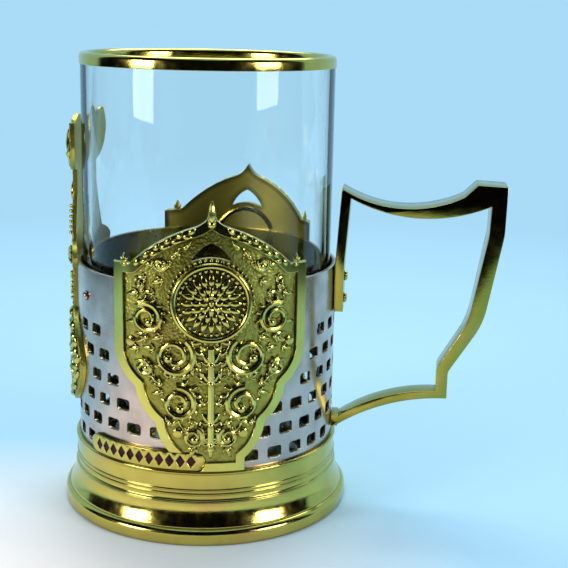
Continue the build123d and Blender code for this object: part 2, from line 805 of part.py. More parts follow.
pieces = {
    "wall_shell": wall_shell,
    "foot_shell": foot_shell,
    "wall_collar": wall_collar,
    "foot_ring": foot_ring,
    "floor_disc": floor_disc,
    "handle_strip": handle_strip,
    "handle_upper_rivets": handle_upper_rivets,
    "handle_lower_pin": handle_lower_pin,
    "front_ogee_plate": front_ogee_plate,
    "front_medallion": front_medallion,
    "front_scrollwork": front_scrollwork,
    "front_rivets": front_rivets,
    "back_ogee_plate": back_ogee_plate,
    "back_medallion": back_medallion,
    "back_scrollwork": back_scrollwork,
    "back_rivets": back_rivets,
    "palmette_plate": palmette_plate,
    "palmette_bead": palmette_bead,
    "palmette_relief": palmette_relief,
    "palmette_rivets": palmette_rivets,
    "plaque": plaque,
    "plaque_inlays": plaque_inlays,
    "band_studs": band_studs,
    "glass_tumbler": glass_tumbler,
    "rim_gilding": rim_gilding,
}
os.makedirs("parts", exist_ok=True)
for name, piece in pieces.items():
    piece.part.label = name
    export_step(piece.part, f"parts/{name}.step")
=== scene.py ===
from math import asin, cos, pi, radians, sin

import bmesh
import bpy
from bpy.props import FloatProperty, FloatVectorProperty, IntProperty, PointerProperty
from bpy.types import NodeSocket, Operator, Panel, PropertyGroup
from mathutils import Matrix, Vector


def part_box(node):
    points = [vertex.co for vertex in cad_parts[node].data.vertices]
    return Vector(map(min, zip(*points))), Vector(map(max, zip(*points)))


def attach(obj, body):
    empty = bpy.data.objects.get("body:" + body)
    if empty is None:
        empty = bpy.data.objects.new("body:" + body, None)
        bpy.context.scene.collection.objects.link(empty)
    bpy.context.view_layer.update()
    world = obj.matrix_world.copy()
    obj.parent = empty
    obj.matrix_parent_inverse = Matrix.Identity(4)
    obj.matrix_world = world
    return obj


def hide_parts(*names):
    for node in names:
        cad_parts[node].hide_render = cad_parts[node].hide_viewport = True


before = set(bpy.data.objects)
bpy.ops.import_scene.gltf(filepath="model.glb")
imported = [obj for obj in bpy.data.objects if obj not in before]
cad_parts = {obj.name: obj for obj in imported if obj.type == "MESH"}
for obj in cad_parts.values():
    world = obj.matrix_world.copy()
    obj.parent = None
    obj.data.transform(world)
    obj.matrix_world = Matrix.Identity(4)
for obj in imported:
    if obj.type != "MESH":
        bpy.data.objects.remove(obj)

bl_info = {
    "name": "Tea Glass Holder",
    "version": (1, 0, 0),
    "blender": (4, 5, 0),
    "location": "3D View > Sidebar > Tea Holder",
    "description": "Dresses a tea glass holder's frame with gilt relief, silvered lattice and clear glass",
    "category": "Object",
}

MM = 0.001
IMAGE_SIZE = 568
# Stems lie this far out of a plate's face, along -Y in the flat sheet
SHEET = -0.3 * MM
# Vertices nearer than this are one vertex, in a new mesh and in a copied node
MERGE_REACH = 0.0005 * MM
NODE_MERGE_REACH = 0.002 * MM
# Faces of a copied node that meet at less than this are one face
FLAT_ANGLE = radians(0.5)
# Edges sharper than this are rounded
ROUNDED_ANGLE = radians(32)
# Edges sharper than this are shaded as sharp
SHADED_ANGLE = radians(38)
# Rays by which a material finds edges and recesses
EDGE_RAYS = 6
# The lamps point at the middle of the holder
LAMP_TARGET = Vector((0.01, 0.0, 0.06))
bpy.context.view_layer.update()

# Places that the frame gives, in metres
wall_low, wall_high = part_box("wall_shell")
collar_low, collar_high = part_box("wall_collar")
shell_low, shell_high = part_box("foot_shell")
glass_low, glass_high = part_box("glass_tumbler")
gilding_low, gilding_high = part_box("rim_gilding")
medallion_low, medallion_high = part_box("front_medallion")
plate_low, plate_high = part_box("front_ogee_plate")
bead_low, bead_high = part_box("palmette_bead")
wall_radius = wall_high.y
wall_top = wall_high.z
medallion_height = (medallion_low.z + medallion_high.z) / 2
medallion_radius = (medallion_high.z - medallion_low.z) / 2
bead_height = (bead_low.z + bead_high.z) / 2
ring_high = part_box("foot_ring")[1]
palmette_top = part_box("palmette_plate")[1].z


class HolderSizes(PropertyGroup):
    """Sizes of the ornament and the edges."""

    panel_angle: FloatProperty(
        name="Panel angle",
        description="Angle between the handle and the middle of each ornament panel",
        default=radians(79),
        subtype="ANGLE",
    )
    plate_radius: FloatProperty(
        name="Plate radius",
        description="Radius of the ornament plates' outer faces about the glass's axis",
        default=wall_radius + 1.35 * MM,
        unit="LENGTH",
    )
    stem_radius: FloatProperty(
        name="Stem radius",
        description="Radius of the scrolls' round stems where they start",
        default=1.0 * MM,
        unit="LENGTH",
    )
    edge_round: FloatProperty(
        name="Edge rounding",
        description="Width of the rounding on the handle's edges",
        default=0.45 * MM,
        unit="LENGTH",
    )
    turned_steps: IntProperty(
        name="Turned steps",
        description="Number of steps round a turned piece",
        default=128,
        min=24,
    )


class HolderFinishes(PropertyGroup):
    """Colours of the metals, the glass and the enamel."""

    gold: FloatVectorProperty(
        name="Gold",
        description="Colour of the polished gilding",
        default=(0.60, 0.49, 0.11),
        subtype="COLOR",
        size=3,
    )
    old_gold: FloatVectorProperty(
        name="Old gold",
        description="Colour of the gilding where it is thin or toned",
        default=(0.46, 0.38, 0.08),
        subtype="COLOR",
        size=3,
    )
    rubbed_gold: FloatVectorProperty(
        name="Rubbed gold",
        description="Colour of the gilding on rubbed edges",
        default=(0.84, 0.75, 0.36),
        subtype="COLOR",
        size=3,
    )
    # Dark colour of patina and painted shade in recesses, and of the painted shade along the plates'
    # reverse edges and on the lining towards the handle and the palmette
    shade_and_tarnish: FloatVectorProperty(
        name="Tarnish",
        description="Colour of the metal in the recesses",
        default=(0.045, 0.04, 0.01),
        subtype="COLOR",
        size=3,
    )
    ground: FloatVectorProperty(
        name="Plate ground",
        description="Colour of the matted ground between the scrolls",
        default=(0.25, 0.235, 0.04),
        subtype="COLOR",
        size=3,
    )
    copper: FloatVectorProperty(
        name="Copper",
        description="Colour of the metal that shows where the gilding is worn",
        default=(0.62, 0.34, 0.12),
        subtype="COLOR",
        size=3,
    )
    relief_gold: FloatVectorProperty(
        name="Relief gold",
        description="Colour of the paler gilding on the plates and their relief",
        default=(0.61, 0.555, 0.13),
        subtype="COLOR",
        size=3,
    )
    handle_gold: FloatVectorProperty(
        name="Handle gold",
        description="Colour of the handle's deeper gilding",
        default=(0.36, 0.30, 0.045),
        subtype="COLOR",
        size=3,
    )
    reverse: FloatVectorProperty(
        name="Plate reverse",
        description="Colour of the plates' inner faces",
        default=(0.40, 0.35, 0.065),
        subtype="COLOR",
        size=3,
    )
    silver: FloatVectorProperty(
        name="Silver",
        description="Colour of the silvered wall",
        default=(0.62, 0.50, 0.43),
        subtype="COLOR",
        size=3,
    )
    lining: FloatVectorProperty(
        name="Lining",
        description="Colour of the gilt wash on the wall's inner side",
        default=(0.18, 0.165, 0.018),
        subtype="COLOR",
        size=3,
    )
    glass: FloatVectorProperty(
        name="Glass",
        description="Tint of the glass",
        default=(0.995, 1.0, 0.995),
        subtype="COLOR",
        size=3,
    )
    enamel: FloatVectorProperty(
        name="Enamel",
        description="Colour of the plaque's inlays",
        default=(0.012, 0.006, 0.006),
        subtype="COLOR",
        size=3,
    )


class StudioSettings(PropertyGroup):
    """Camera, lights and backdrop."""

    eye: FloatVectorProperty(
        name="Eye",
        description="Place of the camera",
        default=(50.4 * MM, -301.5 * MM, 131 * MM),
        subtype="TRANSLATION",
        size=3,
    )
    heading: FloatProperty(
        name="Heading",
        description="Turn of the camera to the left of straight ahead",
        default=radians(5.6),
        subtype="ANGLE",
    )
    pitch: FloatProperty(
        name="Pitch",
        description="Tilt of the camera below the horizon",
        default=radians(13.3),
        subtype="ANGLE",
    )
    roll: FloatProperty(
        name="Roll",
        description="Roll of the camera about its own axis",
        default=radians(1.2),
        subtype="ANGLE",
    )
    focal_pixels: FloatProperty(
        name="Focal length in pixels",
        description="Focal length in pixels of the square image",
        default=1156,
    )
    backdrop: FloatVectorProperty(
        name="Backdrop",
        description="Colour of the floor and the backdrop",
        default=(0.40, 0.71, 0.93),
        subtype="COLOR",
        size=3,
    )
    # Painted pool of light: colour of the floor round the foot
    floor_light_pool: FloatVectorProperty(
        name="Near floor",
        description="Colour of the floor round the foot",
        default=(0.98, 0.98, 0.98),
        subtype="COLOR",
        size=3,
    )


def rgba(colour):
    """A colour property as the four numbers that a node socket takes."""
    return (*colour, 1.0)


def add_node(tree, kind, inputs):
    """New node whose inputs are set to values, or linked where a value is another node's socket."""
    made = tree.nodes.new(kind)
    for name, value in inputs.items():
        if isinstance(value, NodeSocket):
            tree.links.new(value, made.inputs[name])
        else:
            made.inputs[name].default_value = value
    return made


def calculate(tree, operation, *values):
    """Result of an operation on values or other nodes' sockets."""
    made = add_node(tree, "ShaderNodeMath", dict(enumerate(values)))
    made.operation = operation
    return made.outputs["Value"]


def calculate_vector(tree, operation, *vectors):
    """Outputs of an operation on vectors or other nodes' sockets."""
    made = add_node(tree, "ShaderNodeVectorMath", dict(enumerate(vectors)))
    made.operation = operation
    return made.outputs


def mix_shaders(tree, share, first, second, output="Material Output"):
    """Show the first shader where the share is 0, the second where it is 1."""
    both = add_node(tree, "ShaderNodeMixShader", {0: share, 1: first, 2: second})
    tree.links.new(both.outputs["Shader"], tree.nodes[output].inputs["Surface"])


def new_material(name):
    """New material, with its node tree and its Principled shader."""
    material = bpy.data.materials.new(name)
    material.use_nodes = True
    return material, material.node_tree, material.node_tree.nodes["Principled BSDF"]


def noise(tree, place, scale, detail):
    """Noise at a place, from 0 to 1."""
    return add_node(
        tree, "ShaderNodeTexNoise", {"Vector": place, "Scale": scale, "Detail": detail}
    ).outputs["Fac"]


def spread(tree, value, low, high, to_low, to_high):
    """A value moved from one range to another."""
    inputs = {"Value": value, "From Min": low, "From Max": high, "To Min": to_low, "To Max": to_high}
    return add_node(tree, "ShaderNodeMapRange", inputs).outputs["Result"]


def blend_colours(tree, share, first, second):
    """The first colour where the share is 0, the second where it is 1."""
    return add_node(
        tree, "ShaderNodeMixRGB", {"Fac": share, "Color1": first, "Color2": second}
    ).outputs["Color"]


def object_place(tree):
    """Object coordinates of the shaded point."""
    return add_node(tree, "ShaderNodeTexCoord", {}).outputs["Object"]


def rounded_edges(tree, width):
    """Normal that rounds sharp edges over a width."""
    rounded = add_node(tree, "ShaderNodeBevel", {"Radius": width})
    rounded.samples = EDGE_RAYS
    return rounded.outputs["Normal"]


def fine_relief(tree, height, depth, normal):
    """Normal with a fine relief of a depth laid over it."""
    relief = {"Strength": 1.0, "Distance": depth, "Height": height, "Normal": normal}
    return add_node(tree, "ShaderNodeBump", relief).outputs["Normal"]


def edge_wear_and_shade(tree, rounded, sharp=0.75, flat=0.98, most=0.7):
    """Most on sharp edges, 0 on flat faces, by how far the rounded normal turns from the flat one."""
    normal = add_node(tree, "ShaderNodeNewGeometry", {}).outputs["Normal"]
    facing = calculate_vector(tree, "DOT_PRODUCT", rounded, normal)["Value"]
    return spread(tree, facing, sharp, flat, most, 0.0)


def recess_shade_and_dirt(tree, reach, most):
    """Share of painted shade and dirt: most in deep recesses, 0 in the open, by what stands within a
    reach.
    """
    shelter = add_node(tree, "ShaderNodeAmbientOcclusion", {"Distance": reach})
    shelter.samples = EDGE_RAYS
    return spread(tree, shelter.outputs["AO"], 0.3, 0.95, most, 0.0)


def axis_distance(tree, place):
    """Distance of the shaded point from the glass's axis."""
    level = calculate_vector(tree, "MULTIPLY", place, (1.0, 1.0, 0.0))["Vector"]
    return calculate_vector(tree, "LENGTH", level)["Value"]


def gold_colour(tree, place, shade_and_tarnish_amount, tone="gold"):
    """Uneven gold with worn patches, and patina with painted shade in the recesses."""
    finishes = bpy.context.scene.holder_finishes
    clouds = noise(tree, place, scale=140.0, detail=6.0)
    thin = spread(tree, clouds, 0.4, 0.85, 0.0, 0.8)
    gold = blend_colours(tree, thin, rgba(getattr(finishes, tone)), rgba(finishes.old_gold))
    patches = noise(tree, place, scale=75.0, detail=3.0)
    worn = spread(tree, patches, 0.6, 0.75, 0.0, 0.6)
    rosy = blend_colours(tree, worn, gold, rgba(finishes.copper))
    # Patina and painted shade in the recesses, darker where more stands near
    darkened = recess_shade_and_dirt(tree, 1.4 * MM, shade_and_tarnish_amount)
    return blend_colours(tree, darkened, rosy, rgba(finishes.shade_and_tarnish))


def gilding(name, gloss, shade_and_tarnish_amount, edge, tone="gold"):
    """Gilt metal with fine wear. Gloss is its least and most roughness."""
    material, tree, shader = new_material(name)
    place = object_place(tree)
    rounded = rounded_edges(tree, edge)
    grain = noise(tree, place, scale=2600.0, detail=2.0)
    wear = noise(tree, place, scale=420.0, detail=4.0)
    rubbed = rgba(bpy.context.scene.holder_finishes.rubbed_gold)
    gold = gold_colour(tree, place, shade_and_tarnish_amount, tone)
    colour = blend_colours(tree, edge_wear_and_shade(tree, rounded), gold, rubbed)
    tree.links.new(colour, shader.inputs["Base Color"])
    tree.links.new(spread(tree, wear, 0.3, 0.75, *gloss), shader.inputs["Roughness"])
    tree.links.new(fine_relief(tree, grain, 0.01 * MM, rounded), shader.inputs["Normal"])
    shader.inputs["Metallic"].default_value = 1.0
    return material


def plate_gilding(name, face, shade):
    """Gilt plate: bright border, matted ground at the face's radius, and a dull reverse with painted shade
    along its edges.
    """
    finishes = bpy.context.scene.holder_finishes
    material, tree, shader = new_material(name)
    place = object_place(tree)
    reach = axis_distance(tree, place)
    inside = spread(tree, reach, face + 0.1 * MM, face + 0.5 * MM, 1.0, 0.0)
    reverse = spread(tree, reach, face - 1.0 * MM, face - 0.5 * MM, 1.0, 0.0)
    ground = calculate(tree, "SUBTRACT", inside, reverse)
    patches = noise(tree, place, scale=500.0, detail=4.0)
    matted = calculate(tree, "MULTIPLY", ground, spread(tree, patches, 0.3, 0.7, 0.55, 0.9))
    gold = gold_colour(tree, place, 0.6, "relief_gold")
    rounded = rounded_edges(tree, 0.2 * MM)
    rubbed = blend_colours(tree, edge_wear_and_shade(tree, rounded), gold, rgba(finishes.rubbed_gold))
    darkened = blend_colours(tree, matted, rubbed, rgba(finishes.ground))
    faced = blend_colours(tree, reverse, darkened, rgba(finishes.reverse))
    # Painted shade along the reverse's edges, as strong as the shade argument
    margin = edge_wear_and_shade(tree, rounded_edges(tree, 3.0 * MM), sharp=0.9, flat=0.99, most=shade)
    edge_shade = calculate(tree, "MULTIPLY", margin, reverse)
    colour = blend_colours(tree, edge_shade, faced, rgba(finishes.shade_and_tarnish))
    punched = add_node(tree, "ShaderNodeTexVoronoi", {"Vector": place, "Scale": 1500.0})
    stipple = calculate(tree, "MULTIPLY", ground, punched.outputs["Distance"])
    tree.links.new(colour, shader.inputs["Base Color"])
    tree.links.new(spread(tree, inside, 0.0, 1.0, 0.16, 0.33), shader.inputs["Roughness"])
    tree.links.new(fine_relief(tree, stipple, 0.1 * MM, rounded), shader.inputs["Normal"])
    shader.inputs["Metallic"].default_value = 1.0
    return material


def silvering(name):
    """Silvered sheet, faintly brushed, with painted shade and dirt in its recesses, and a dull lining that
    has a gilt wash behind the panels and painted shade towards the handle and the palmette.
    """
    finishes = bpy.context.scene.holder_finishes
    material, tree, shader = new_material(name)
    place = object_place(tree)
    middle = wall_radius - 0.5 * MM
    outside = spread(tree, axis_distance(tree, place), middle - 0.2 * MM, middle + 0.2 * MM, 0.0, 1.0)
    clouds = noise(tree, place, scale=160.0, detail=4.0)
    dull = spread(tree, clouds, 0.3, 0.8, 0.0, 0.6)
    grey = [0.5 * part for part in finishes.silver]
    bright = blend_colours(tree, dull, rgba(finishes.silver), rgba(grey))
    # Painted shade and dirt in the recesses
    grime_and_shade = recess_shade_and_dirt(tree, 1.2 * MM, 0.85)
    aged = blend_colours(tree, grime_and_shade, bright, rgba(finishes.shade_and_tarnish))
    # Painted shade: the lining is dark towards the handle and the palmette, with a gilt wash behind the
    # panels
    across = add_node(tree, "ShaderNodeSeparateXYZ", {"Vector": place})
    depth = calculate(tree, "ABSOLUTE", across.outputs["Y"])
    washed = spread(tree, depth, 15 * MM, 24 * MM, 0.0, 1.0)
    lining = blend_colours(tree, washed, rgba(finishes.shade_and_tarnish), rgba(finishes.lining))
    colour = blend_colours(tree, outside, lining, aged)
    brushed = add_node(tree, "ShaderNodeMapping", {"Vector": place, "Scale": (60.0, 60.0, 2400.0)})
    lines = noise(tree, brushed.outputs["Vector"], scale=1.0, detail=2.0)
    polish = spread(tree, clouds, 0.3, 0.75, 0.16, 0.32)
    dullness = spread(tree, outside, 0.0, 1.0, 0.06, 0.0)
    tree.links.new(colour, shader.inputs["Base Color"])
    tree.links.new(calculate(tree, "ADD", polish, dullness), shader.inputs["Roughness"])
    brushing = fine_relief(tree, lines, 0.004 * MM, rounded_edges(tree, 0.25 * MM))
    tree.links.new(brushing, shader.inputs["Normal"])
    shader.inputs["Metallic"].default_value = 1.0
    return material


def clear_glass(name):
    """Clear glass that lets lamplight through to what stands behind it."""
    finishes = bpy.context.scene.holder_finishes
    material, tree, shader = new_material(name)
    smears = noise(tree, object_place(tree), scale=60.0, detail=5.0)
    shader.inputs["Base Color"].default_value = rgba(finishes.glass)
    shader.inputs["IOR"].default_value = 1.33
    shader.inputs["Transmission Weight"].default_value = 1.0
    tree.links.new(spread(tree, smears, 0.5, 0.9, 0.0, 0.05), shader.inputs["Roughness"])
    path = add_node(tree, "ShaderNodeLightPath", {})
    open_way = add_node(tree, "ShaderNodeBsdfTransparent", {"Color": rgba(finishes.glass)})
    mix_shaders(tree, path.outputs["Is Shadow Ray"], shader.outputs["BSDF"], open_way.outputs["BSDF"])
    return material


def dark_enamel(name):
    """Worn black enamel with a faint red bloom."""
    finishes = bpy.context.scene.holder_finishes
    material, tree, shader = new_material(name)
    place = object_place(tree)
    dark_red = (0.09, 0.012, 0.012)
    clouds = noise(tree, place, scale=300.0, detail=3.0)
    bloom = spread(tree, clouds, 0.4, 0.8, 0.0, 1.0)
    colour = blend_colours(tree, bloom, rgba(finishes.enamel), rgba(dark_red))
    wear = noise(tree, place, scale=900.0, detail=2.0)
    tree.links.new(colour, shader.inputs["Base Color"])
    tree.links.new(spread(tree, wear, 0.3, 0.8, 0.3, 0.5), shader.inputs["Roughness"])
    shader.inputs["Specular IOR Level"].default_value = 0.15
    return material


def arc(centre, radius, start, end, steps):
    """Points on an arc in the (radius, height) plane, with angles in degrees."""
    points = []
    for i in range(steps + 1):
        turn = radians(start + (end - start) * i / steps)
        points.append((centre[0] + radius * cos(turn), centre[1] + radius * sin(turn)))
    return points


def lathe(bm, outline):
    """Spin a closed outline of (radius, height) points about the glass's axis."""
    verts = [bm.verts.new((radius, 0.0, height)) for radius, height in outline]
    edges = [bm.edges.new(pair) for pair in zip(verts, verts[1:] + verts[:1])]
    bmesh.ops.spin(
        bm,
        geom=verts + edges,
        cent=(0, 0, 0),
        axis=(0, 0, 1),
        dvec=(0, 0, 0),
        angle=2 * pi,
        steps=bpy.context.scene.holder_sizes.turned_steps,
        use_merge=True,
    )
    tidy(bm)


def tidy(bm):
    """Merge doubled vertices, then turn every face outwards."""
    bmesh.ops.remove_doubles(bm, verts=bm.verts, dist=MERGE_REACH)
    bmesh.ops.recalc_face_normals(bm, faces=bm.faces)


def copy_of(node):
    """Copy of a CAD node's mesh, with its loose triangles merged into clean faces."""
    bm = bmesh.new()
    bm.from_mesh(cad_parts[node].data)
    bmesh.ops.remove_doubles(bm, verts=bm.verts, dist=NODE_MERGE_REACH)
    bmesh.ops.dissolve_limit(bm, angle_limit=FLAT_ANGLE, verts=bm.verts, edges=bm.edges)
    return bm


def soften(bm, width, segments):
    """Round every edge whose two faces meet at more than a gentle angle."""
    sharp = [edge for edge in bm.edges if edge.is_manifold and edge.calc_face_angle() > ROUNDED_ANGLE]
    bmesh.ops.bevel(
        bm,
        geom=sharp,
        offset=width,
        offset_type="OFFSET",
        affect="EDGES",
        segments=segments,
        profile=0.5,
        material=-1,
        clamp_overlap=True,
    )


def show(bm, name, material, stands_for, body="holder"):
    """Make a finished piece from a mesh: it rides on a body and stands for the CAD nodes."""
    mesh = bpy.data.meshes.new(name)
    bm.to_mesh(mesh)
    bm.free()
    mesh.shade_smooth()
    mesh.set_sharp_from_angle(angle=SHADED_ANGLE)
    mesh.materials.append(bpy.data.materials[material])
    piece = bpy.data.objects.new(name, mesh)
    bpy.context.scene.collection.objects.link(piece)
    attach(piece, body)
    if stands_for:
        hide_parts(*stands_for)
    return piece


def show_softened(node, name, width, segments, material):
    """Show a copy of a CAD node with its edges rounded, in the node's place."""
    bm = copy_of(node)
    soften(bm, width, segments)
    show(bm, name, material, [node])


def dress(node, material):
    """Give a CAD node that stays in view its finished material."""
    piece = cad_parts[node]
    if not piece.material_slots:
        piece.data.materials.append(None)
    for material_slot in piece.material_slots:
        material_slot.material = bpy.data.materials[material]


def take_in(bm, part):
    """Add a small finished part to a larger mesh."""
    mesh = bpy.data.meshes.new("part")
    part.to_mesh(mesh)
    part.free()
    bm.from_mesh(mesh)
    bpy.data.meshes.remove(mesh)


def tendril(bm, start, heading, bends, thickness):
    """Round stem that grows in the flat sheet from a start point. Each bend is (length, turn, swell)."""
    part = bmesh.new()
    aim = Matrix.Translation(start) @ Matrix.Rotation(pi / 2 - heading, 4, "Y")
    bud = bmesh.ops.create_circle(part, cap_ends=True, segments=8, radius=thickness, matrix=aim)
    tip = bud["verts"][0].link_faces[0]
    for length, turn, swell in bends:
        heading += turn
        tip = bmesh.ops.extrude_discrete_faces(part, faces=[tip])["faces"][0]
        ring = tip.verts[:]
        step = Vector((cos(heading), 0, sin(heading))) * length
        bmesh.ops.translate(part, verts=ring, vec=step)
        centre = tip.calc_center_median()
        bmesh.ops.rotate(part, verts=ring, cent=centre, matrix=Matrix.Rotation(-turn, 3, "Y"))
        bmesh.ops.scale(part, verts=ring, space=Matrix.Translation(-centre), vec=(swell, swell, swell))
    end = tip.calc_center_median()
    take_in(bm, part)
    return end


def bead(bm, place, radius):
    """Small ball."""
    part = bmesh.new()
    bmesh.ops.create_icosphere(part, subdivisions=2, radius=radius, matrix=Matrix.Translation(place))
    take_in(bm, part)


def petal(bm, foot, heading, length, width, rise):
    """Pointed leaf that lies on the flat sheet, from its foot along a heading."""
    part = bmesh.new()
    bmesh.ops.create_uvsphere(part, u_segments=8, v_segments=6, radius=1.0)
    pinch = 0.55
    for vert in part.verts:
        taper = 1.0 - pinch * max(0.0, vert.co.z)
        vert.co.x *= taper
        vert.co.y *= taper
    aim = Matrix.Translation(foot) @ Matrix.Rotation(pi / 2 - heading, 4, "Y")
    size = Matrix.Diagonal((width / 2, rise, length / 2, 1.0))
    place = aim @ Matrix.Translation((0, 0, length / 2)) @ size
    bmesh.ops.transform(part, verts=part.verts, matrix=place)
    take_in(bm, part)


def volute(bm, centre, radius, start, side, turns, thickness):
    """Scroll that curls in towards its eye, with a bead in the eye and leaves round its back."""
    eye_radius = 0.3 * radius
    steps = 20
    turn = 2 * pi / steps
    count = int(turns * steps)
    bends = []
    for i in range(count):
        reach = radius + (eye_radius - radius) * i / count
        bends.append((reach * turn, side * turn, 0.985))
    first = centre + Vector((cos(start), 0, sin(start))) * radius
    first.y = SHEET
    eye = tendril(bm, first, start + side * pi / 2, bends, thickness)
    bead(bm, eye, 1.3 * thickness)
    leaves = 8
    for i in range(leaves):
        along = start + side * (0.2 + 0.47 * i)
        foot = centre + Vector((cos(along), 0, sin(along))) * radius * (1 - 0.03 * i)
        foot.y = SHEET
        length = radius * (0.62 - 0.03 * i)
        petal(bm, foot, along + side * radians(48), length, 0.5 * length, 0.8 * MM)


def leaf_spray(bm, foot, heading, count, fan, length, rise=0.8 * MM):
    """Fan of leaves from one foot, the middle one longest."""
    for i in range(count):
        share = 2 * i / (count - 1) - 1
        reach = length * (1 - 0.35 * abs(share))
        petal(bm, foot, heading + share * fan / 2, reach, 0.42 * reach, rise)


def pearl_oval(bm, centre, across, up, count, radius):
    """Oval row of beads."""
    for i in range(count):
        turn = 2 * pi * i / count
        bead(bm, centre + Vector((across * cos(turn), 0, up * sin(turn))), radius)


def rosette(bm, centre, inner, petals, length, width, rise):
    """Ring of petals round a centre."""
    for i in range(petals):
        turn = 2 * pi * i / petals
        foot = centre + Vector((cos(turn), 0, sin(turn))) * inner
        petal(bm, foot, turn, length, width, rise)


def on_sheet(across, height):
    """Place of a stem or leaf on the flat sheet, from mm across and mm up."""
    return Vector((across * MM, SHEET, height * MM))


def mirrored(heading, hand):
    """A heading as it is on the right hand, and its mirror image on the left."""
    return heading if hand > 0 else pi - heading


def panel_sides(sizes):
    """Name of each ornament panel, and its angle from the handle."""
    return (("front", -sizes.panel_angle), ("back", sizes.panel_angle))


def face_front(bm):
    """Turn a lathed piece's axis from upright to -Y, out of the flat sheet."""
    bmesh.ops.rotate(bm, verts=bm.verts, cent=(0, 0, 0), matrix=Matrix.Rotation(pi / 2, 3, "X"))


def stand(bm, angle, distance, height):
    """Stand a flat sheet upright at a distance from the glass's axis, facing outwards."""
    bmesh.ops.translate(bm, verts=bm.verts, vec=(0, -distance, height))
    bmesh.ops.rotate(bm, verts=bm.verts, cent=(0, 0, 0), matrix=Matrix.Rotation(angle + pi / 2, 3, "Z"))


def wrap(bm, angle, radius):
    """Bend a flat sheet round the glass's axis, with its middle at an angle from the handle."""
    for vert in bm.verts:
        reach = radius - vert.co.y
        turn = angle + asin(vert.co.x / reach)
        vert.co = (reach * cos(turn), reach * sin(turn), vert.co.z)


